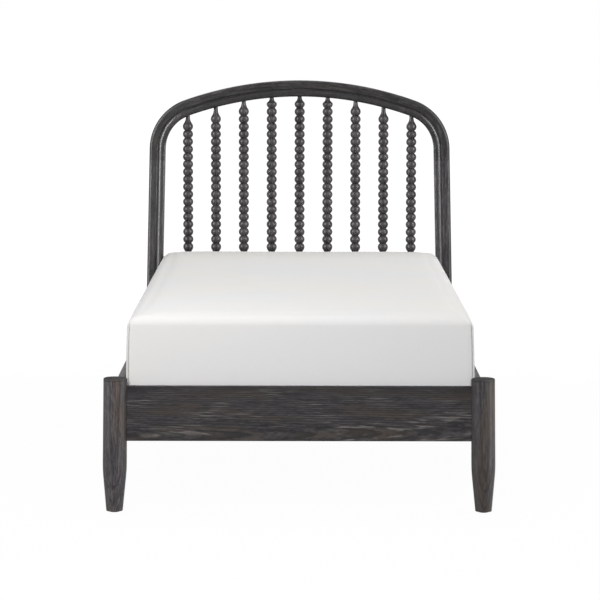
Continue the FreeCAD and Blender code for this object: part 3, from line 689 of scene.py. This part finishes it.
# Slack creases on the top: middle, heading from +Y towards +X in degrees, length, width and height
CREASES = [
    ((-0.10, -0.21), 84.0, 0.085, 0.024, 0.0020),
    ((-0.13, -0.53), 79.0, 0.060, 0.022, 0.0018),
    ((0.06, -0.71), 97.0, 0.055, 0.022, 0.0015),
    ((-0.20, 0.02), 74.0, 0.070, 0.026, 0.0017),
    ((-0.05, 0.14), 92.0, 0.080, 0.028, 0.0015),
    ((0.22, -0.36), 104.0, 0.080, 0.030, 0.0012),
]

mattress_low, mattress_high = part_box("mattress")
mattress_half = np.array([(mattress_high.x - mattress_low.x) / 2 + FULLNESS,
                          (mattress_high.y - mattress_low.y) / 2])
mattress_centre = np.array([LIES_RIGHT, (mattress_high.y + mattress_low.y) / 2])
mattress_edge_z = mattress_high.z - TOP_CROWN


def rounded_rectangle():
    """Points round a rounded rectangle, for any half size h and corner radius r, as reach * (h - r) +
    out * r. On a corner the reach is the corner's signs and out turns through a quarter; on a side the
    reach goes evenly from one corner to the next. The corner's points crowd at its middle, where the
    seam lies, and their turn from the seam is given too; on a side it is a quarter."""
    part = np.linspace(-1, 1, 2 * CORNER_STEPS + 1)
    from_seam = np.pi / 4 * (EVEN_SPREAD * part + CROWDED_SPREAD * part**3)
    signs = np.array([(1, 1), (-1, 1), (-1, -1), (1, -1)], float)
    reach = []
    angle = []
    kind = []
    seam = []
    for corner in range(4):
        start = corner * np.pi / 2
        steps = SHORT_STEPS if corner % 2 == 0 else LONG_STEPS
        share = np.linspace(0, 1, steps + 1)[1:-1, None]
        side = signs[corner] * (1 - share) + signs[(corner + 1) % 4] * share
        reach += [np.repeat(signs[corner:corner + 1], len(part), 0), side]
        angle += [start + np.pi / 4 + from_seam, np.full(len(side), start + np.pi / 2)]
        kind += [np.full(len(part), corner), np.full(len(side), corner + 4)]
        seam += [from_seam, np.full(len(side), np.pi / 2)]
    angle = np.concatenate(angle)
    out = np.stack([np.cos(angle), np.sin(angle)], 1)
    return np.concatenate(reach), out, np.concatenate(kind), np.concatenate(seam)


def mattress_profile():
    """Rows of the form from the top's rim down to the hem and on below, as columns of one array: turn
    of the top roll, inset beyond the roll, corner radius, share of the way down the side, and drop of
    the tucked low edge. The side leans in a little towards the top. Also the number of rows that the
    sheet covers."""
    roll = np.linspace(0, np.pi / 2, ROLL_ROWS)
    side = np.linspace(0, 1, SIDE_ROWS)[1:]
    tuck = np.linspace(0, np.pi / 2, TUCK_ROWS)[1:]
    hem = np.linspace(LOW_EDGE, SHEET_HEM, HEM_ROWS)[1:]
    rim = np.linspace(PLAN_CORNER, 0, RIM_ROWS)[:-1]
    upright = np.pi / 2
    low = [(LOW_EDGE * (1 - np.cos(turn)), LOW_EDGE * np.sin(turn)) for turn in tuck]
    rows = [
        *[(0.0, SIDE_LEAN + inset, PLAN_CORNER - inset, 0.0, 0.0) for inset in rim],
        *[(turn, SIDE_LEAN, PLAN_CORNER, 0.0, 0.0) for turn in roll],
        *[(upright, SIDE_LEAN * (1 - share) ** 2, PLAN_CORNER, share, 0.0) for share in side],
        *[(upright, inset, PLAN_CORNER, 1.0, drop) for inset, drop in low],
        *[(upright, inset, PLAN_CORNER, 1.0, LOW_EDGE) for inset in hem],
        (upright, SHEET_HEM + PLAN_CORNER, 0.0, 1.0, LOW_EDGE),
    ]
    return np.array(rows).T, len(rows) - 1


def top_relief(plan):
    """Height of the top over its edge: a flat crown that is full in the middle and none at the outline,
    a fall towards the foot end by the square of the way, and the slack creases, each a bell across and
    along its heading."""
    share = np.minimum(np.abs(plan - mattress_centre) / mattress_half, 1.0)
    full = 1 - share ** np.array(CROWN_POWERS)
    height = TOP_CROWN * full[..., 0] * full[..., 1]
    to_foot = 1 - (plan[..., 1] - mattress_low.y) / FOOT_FALL_LENGTH
    height = height - FOOT_FALL * np.clip(to_foot, 0, 1) ** 2
    for middle, heading, length, width, rise in CREASES:
        turn = math.radians(heading)
        away = plan - np.array(middle)
        along = away[..., 0] * math.sin(turn) + away[..., 1] * math.cos(turn)
        across = away[..., 0] * math.cos(turn) - away[..., 1] * math.sin(turn)
        height = height + rise * np.exp(-(across / width) ** 2 - (along / length) ** 2)
    return height


def seam_relief(from_seam, down, corner):
    """Distance that the cover stands out beside a corner seam: a sewn groove with a lip on both sides,
    and puckers that run down the seam as a sine and fade away from it."""
    beside = PLAN_CORNER * np.abs(from_seam)
    groove = np.exp(-(beside / SEAM_WIDTH) ** 2)
    lip = np.exp(-((beside - LIP_PLACE * SEAM_WIDTH) / (LIP_WIDTH * SEAM_WIDTH)) ** 2)
    slant = PUCKER_TURN * corner + PUCKER_SLANT * beside / PLAN_CORNER
    wave = np.sin(2 * np.pi * down / PUCKER_PITCH + slant)
    return SEAM_LIP * lip - SEAM_DEPTH * groove + PUCKER_HEIGHT * wave * np.exp(-beside / PUCKER_REACH)


def even_grid(loop, kind, corners, z, first_index, flip):
    """Even grid inside a loop whose corners have no radius. It takes the loop's own points as its rim,
    and gives its inner points and its faces."""
    x = np.linspace(corners[0][0], corners[1][0], SHORT_STEPS + 1)
    y = np.linspace(corners[0][1], corners[1][1], LONG_STEPS + 1)
    grid = np.zeros((SHORT_STEPS + 1, LONG_STEPS + 1), int)
    inner = np.arange((SHORT_STEPS - 1) * (LONG_STEPS - 1)).reshape(SHORT_STEPS - 1, LONG_STEPS - 1)
    grid[1:-1, 1:-1] = inner + first_index
    spots = [loop[kind == corner][:1] for corner in range(4)]
    sides = [loop[kind == corner + 4] for corner in range(4)]
    grid[::-1, -1] = np.concatenate([spots[0], sides[0], spots[1]])
    grid[0, ::-1] = np.concatenate([spots[1], sides[1], spots[2]])
    grid[:, 0] = np.concatenate([spots[2], sides[2], spots[3]])
    grid[-1, :] = np.concatenate([spots[3], sides[3], spots[0]])
    points = np.stack(np.meshgrid(x[1:-1], y[1:-1], indexing="ij") + [np.full(inner.shape, z)], -1)
    faces = np.stack([grid[:-1, :-1], grid[1:, :-1], grid[1:, 1:], grid[:-1, 1:]], -1).reshape(-1, 4)
    return points.reshape(-1, 3), faces[:, ::-1] if flip else faces


def mattress_form():
    """Closed form of the mattress: rows of the profile carried round the rounded rectangle, with an
    even grid on top and one below. The roll's radius goes over from the sides' to the ends' by the
    square of the outward direction. Also the faces that the sheet covers, the others, the flat place of
    each point, and how near it lies to a seam."""
    reach, out, kind, from_seam = rounded_rectangle()
    (turn, inset, radius, share, tuck), covered_rows = mattress_profile()
    rows = len(turn)
    count = len(reach)
    turn, inset, radius, share, tuck = [column[:, None] for column in (turn, inset, radius, share, tuck)]
    roll = SIDE_ROLL * out[:, 0] ** 2 + END_ROLL * out[:, 1] ** 2
    roll_inset = np.stack([SIDE_ROLL * (1 - np.sin(turn)), END_ROLL * (1 - np.sin(turn))], -1)
    half = mattress_half - roll_inset - (inset + radius)[..., None]
    plan = mattress_centre + reach * half + out * radius[..., None]
    drop = mattress_edge_z - mattress_low.z - LOW_EDGE - roll
    z = mattress_edge_z - roll * (1 - np.cos(turn)) - share * drop - tuck
    step = np.hypot(np.diff(roll * (1 - np.sin(turn)) + inset, axis=0), np.diff(z, axis=0))
    down = np.concatenate([np.zeros((1, count)), np.cumsum(step, axis=0)])
    z = z + top_relief(plan) * (1 - share)
    sewn = (kind < 4) * np.sin(turn) ** 2 * (radius > 0)
    stand = seam_relief(from_seam, down, kind) * sewn
    # Share of painted shade along each corner seam, for the sheet's seam attribute
    seam = np.exp(-(PLAN_CORNER * from_seam / SEAM_WIDTH) ** 2) * sewn**4
    plan = plan + out * (stand * np.sin(turn))[..., None]
    z = z + stand * np.cos(turn)
    points = np.concatenate([plan, z[..., None]], -1).reshape(-1, 3)
    index = np.arange(rows * count).reshape(rows, count)
    first_of_corner = np.array([np.flatnonzero(kind == corner)[0] for corner in range(4)])
    is_corner = kind < 4
    for row in (0, rows - 1):
        index[row, is_corner] = row * count + first_of_corner[kind[is_corner]]
    ahead = np.roll(index, -1, axis=1)
    skirt = np.stack([index[:-1], index[1:], ahead[1:], ahead[:-1]], -1)
    rim_box = (plan[0].min(0), plan[0].max(0))
    top_points, top_faces = even_grid(index[0], kind, rim_box, mattress_edge_z, len(points), False)
    top_points[:, 2] += top_relief(top_points[:, :2])
    low_box = (plan[-1].min(0), plan[-1].max(0))
    low_points, low_faces = even_grid(index[-1], kind, low_box, mattress_low.z,
                                      len(points) + len(top_points), True)
    flat = (plan[0] + out * down[..., None]).reshape(-1, 2)
    flat = np.concatenate([flat, top_points[:, :2], low_points[:, :2]])
    covered = np.concatenate([top_faces, skirt[:covered_rows - 1].reshape(-1, 4)])
    hidden = np.concatenate([skirt[covered_rows - 1:].reshape(-1, 4), low_faces])
    seam = np.concatenate([seam.ravel(), np.zeros(len(top_points) + len(low_points))])
    return np.concatenate([points, top_points, low_points]), covered, hidden, flat, seam


def face_list(quads):
    """Faces as lists, where a quad with a repeated point is a triangle."""
    loops = quads.tolist()
    same = np.flatnonzero((quads == np.roll(quads, -1, axis=1)).any(axis=1))
    for place in same:
        loops[place] = list(dict.fromkeys(loops[place]))
    return loops


def new_piece(name, points, quads, material, flat=None):
    """Mesh object from points and quads, without unused points. Flat places become its UV map."""
    used = np.unique(quads)
    index = np.zeros(len(points), int)
    index[used] = np.arange(len(used))
    mesh = bpy.data.meshes.new(name)
    mesh.from_pydata(points[used].tolist(), [], face_list(index[quads]))
    mesh.polygons.foreach_set("use_smooth", np.ones(len(mesh.polygons), bool))
    if flat is not None:
        corners = np.zeros(len(mesh.loops), int)
        mesh.loops.foreach_get("vertex_index", corners)
        layer = mesh.uv_layers.new(name="flat")
        layer.data.foreach_set("uv", flat[used][corners].astype(np.float32).ravel())
    mesh.materials.append(material)
    piece = bpy.data.objects.new(name, mesh)
    scene.collection.objects.link(piece)
    return piece, used


TINY = 1e-12


def normals_of(points, quads):
    """Unit normal at each point: the mean of its faces' normals by area."""
    across = points[quads[:, 2]] - points[quads[:, 0]]
    other = points[quads[:, 3]] - points[quads[:, 1]]
    face = np.cross(across, other)
    total = np.zeros_like(points)
    for corner in range(4):
        np.add.at(total, quads[:, corner], face)
    return total / np.maximum(np.linalg.norm(total, axis=1, keepdims=True), TINY)


def swell(points, quads, held, share):
    """Let the form swell as a sewn cover does: a cloth with inside pressure, no gravity, and its
    underside and sides held by the core. Each point only moves outwards, up to a smooth cap, and by its
    share."""
    way = normals_of(points, quads)
    start = points - way * SWELL_START * (1 - held[:, None])
    piece, used = new_piece("swelling_cover", start, quads, None)
    group = piece.vertex_groups.new(name="held")
    group.add(np.flatnonzero(held[used]).tolist(), 1.0, "REPLACE")
    cover = piece.modifiers.new("cover", "CLOTH")
    cover.settings.quality = SWELL_QUALITY
    cover.settings.mass = SWELL_MASS
    cover.settings.use_pressure = True
    cover.settings.uniform_pressure_force = SWELL_PRESSURE
    cover.settings.effector_weights.gravity = 0.0
    cover.settings.vertex_group_mass = "held"
    cover.collision_settings.use_collision = False
    cover.point_cache.frame_start = 1
    cover.point_cache.frame_end = SWELL_FRAMES
    for number in range(1, SWELL_FRAMES + 1):
        scene.frame_set(number)
    solved = piece.evaluated_get(bpy.context.evaluated_depsgraph_get()).data
    place = np.zeros(len(used) * 3)
    solved.vertices.foreach_get("co", place)
    scene.frame_set(1)
    mesh = piece.data
    bpy.data.objects.remove(piece)
    bpy.data.meshes.remove(mesh)
    moved = start.copy()
    moved[used] = place.reshape(-1, 3)
    rise = np.maximum(((moved - start) * way).sum(axis=1, keepdims=True), 0.0)
    swelled = start + way * SWELL_CAP * np.tanh(rise / SWELL_CAP)
    return points + (swelled - points) * share[:, None]


form_points, covered, hidden, flat_places, seam_shade_share = mattress_form()
closed = np.concatenate([covered, hidden])
underside = (form_points[:, 2] < mattress_low.z + UNDERSIDE_MARGIN).astype(float)
core_held = (form_points[:, 2] < mattress_edge_z - END_ROLL).astype(float)
over_sides = (form_points[:, 2] - mattress_edge_z + END_ROLL) / (SWELL_FADE * END_ROLL)
over_sides = np.clip(over_sides, 0, 1)
pad_points = swell(form_points, closed, core_held, over_sides**2 * (3 - 2 * over_sides))
pad_normals = normals_of(pad_points, closed)

pad_surface = pad_points - pad_normals * PAD_SETBACK * (1 - underside[:, None])
mattress_pad, _ = new_piece("mattress_pad", pad_surface, closed, knitted_ticking("mattress_ticking"))
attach(mattress_pad, "bedding")
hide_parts("mattress")

sheet_points = pad_points + pad_normals * SHEET_CLEARANCE
fitted_cloth, cloth_used = new_piece(
    "fitted_cloth", sheet_points, covered, cotton_percale("white_percale"), flat_places)
# Painted shade along the corner seams, carried by the seam attribute
seam_shade_layer = fitted_cloth.data.attributes.new("seam", "FLOAT", "POINT")
seam_shade_layer.data.foreach_set("value", seam_shade_share[cloth_used].astype(np.float32))
thickness = fitted_cloth.modifiers.new("thickness", "SOLIDIFY")
thickness.thickness = SHEET_THICKNESS
thickness.offset = 1.0
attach(fitted_cloth, "bedding")
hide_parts("fitted_sheet")

# Studio: white surroundings, and a pale floor whose own glow is nearly full close by and full far off
WHITE = (1.0, 1.0, 1.0, 1.0)
AMBIENT = 0.16
FLOOR_HALF = 30.0
FLOOR_GREY = shade(130, 130, 129)
FLOOR_GLOW = 1.08
NEAR_GLOW = 0.9
GLOW_REACH = (1.6, 4.5)


def seen_directly(finish):
    """1 for rays that show the surroundings themselves: from the camera, and by gloss or through
    glass."""
    rays = finish.add("ShaderNodeLightPath", {}, {}).socket.node.outputs
    camera = Value(finish, rays["Is Camera Ray"])
    glossy = Value(finish, rays["Is Glossy Ray"])
    through = Value(finish, rays["Is Transmission Ray"])
    return camera.math("MAXIMUM", camera.math("MAXIMUM", camera, glossy), through)


class Surroundings(Finish):
    """The world's node tree, with the same way to add nodes."""

    def __init__(self, world):
        world.use_nodes = True
        self.tree = world.node_tree
        self.tree.nodes.clear()


def white_surroundings():
    """White where it is seen, and a softer level where it lights the object."""
    scene.world = bpy.data.worlds.new("studio")
    finish = Surroundings(scene.world)
    seen = finish.add("ShaderNodeBackground", {}, {"Color": WHITE, "Strength": 1.0})
    light = finish.add("ShaderNodeBackground", {}, {"Color": WHITE, "Strength": AMBIENT})
    both = finish.add("ShaderNodeMixShader", {}, {0: seen_directly(finish), 1: light, 2: seen})
    finish.add("ShaderNodeOutputWorld", {}, {"Surface": both})


def pale_floor():
    """Level floor that shows white but keeps the shadow that falls on it."""
    corner = np.array([(-1, -1), (1, -1), (1, 1), (-1, 1)]) * FLOOR_HALF
    points = np.concatenate([corner, np.zeros((4, 1))], 1)
    finish = Finish("pale_floor", {"Base Color": FLOOR_GREY, "Roughness": 0.9, "Specular IOR Level": 0.1})
    glow = finish.add("ShaderNodeEmission", {}, {"Color": WHITE, "Strength": FLOOR_GLOW})
    lit = Value(finish, finish.shader.outputs[0])
    x, y, _ = finish.parts(finish.place())
    far = finish.step((x * x + y * y) ** 0.5, *GLOW_REACH)
    share = seen_directly(finish) * (NEAR_GLOW + far * (1.0 - NEAR_GLOW))
    both = finish.add("ShaderNodeMixShader", {}, {0: share, 1: lit, 2: glow})
    out = finish.tree.nodes["Material Output"]
    finish.tree.links.new(both.socket, out.inputs["Surface"])
    floor, _ = new_piece("floor", points, np.array([[0, 1, 2, 3]]), finish.material)


white_surroundings()
pale_floor()

# Lights, two tall strips for the gloss and soft boxes for the body colour: place, point that they aim
# at, width and height, power, and whether they show in the gloss
MIDDLE = (0.0, 0.3, 0.6)
STRIP_SIZE = (1.2, 5.0)
FILL_SIZE = (3.0, 2.4)
LIGHTS = {
    "left_strip": ((-5.04, -2.38, 2.45), MIDDLE, STRIP_SIZE, 480.0, True),
    "right_strip": ((5.04, -2.38, 2.45), MIDDLE, STRIP_SIZE, 480.0, True),
    "key": ((-1.0, -6.4, 2.8), (0.0, -0.5, 0.6), (3.0, 2.0), 219.0, False),
    "foot_light": ((-0.8, -1.7, 1.65), (-0.1, -0.9, 0.55), (1.4, 0.6), 8.5, False),
    "left_fill": ((-6.0, 0.2, 1.8), MIDDLE, FILL_SIZE, 30.0, False),
    "right_fill": ((6.0, 0.2, 1.8), MIDDLE, FILL_SIZE, 200.0, False),
    "overhead": ((0.0, 1.2, 4.2), MIDDLE, (2.6, 2.6), 62.0, False),
}


def softbox(name, place, aim, size, power, for_gloss):
    """Rectangular area light at a place, aimed at a point, with the second side of its size upright. It
    shows either in the gloss or in the body colour of the surfaces."""
    lamp = bpy.data.lights.new(name, "AREA")
    lamp.shape = "RECTANGLE"
    lamp.size, lamp.size_y = size
    lamp.energy = power
    light = bpy.data.objects.new(name, lamp)
    light.location = place
    light.rotation_euler = (Vector(aim) - Vector(place)).to_track_quat("-Z", "Y").to_euler()
    light.visible_camera = False
    light.visible_glossy = for_gloss
    light.visible_diffuse = not for_gloss
    scene.collection.objects.link(light)


for light_name, light_row in LIGHTS.items():
    softbox(light_name, *light_row)

# Camera: straight from the foot end and a little from above
CAMERA_PLACE = (0.0, -8.174, 1.414)
CAMERA_LENS = 155.1
CAMERA_SENSOR = 36.0
CAMERA_PITCH = math.radians(6.432)
CAMERA_ROLL = math.radians(0.1)
CAMERA_YAW = math.radians(-0.003)
lens = bpy.data.cameras.new("camera")
lens.lens = CAMERA_LENS
lens.sensor_width = CAMERA_SENSOR
camera = bpy.data.objects.new("camera", lens)
camera.location = CAMERA_PLACE
camera.rotation_euler = (math.pi / 2 - CAMERA_PITCH, -CAMERA_ROLL, CAMERA_YAW)
scene.collection.objects.link(camera)
scene.camera = camera

scene.view_settings.view_transform = "Standard"
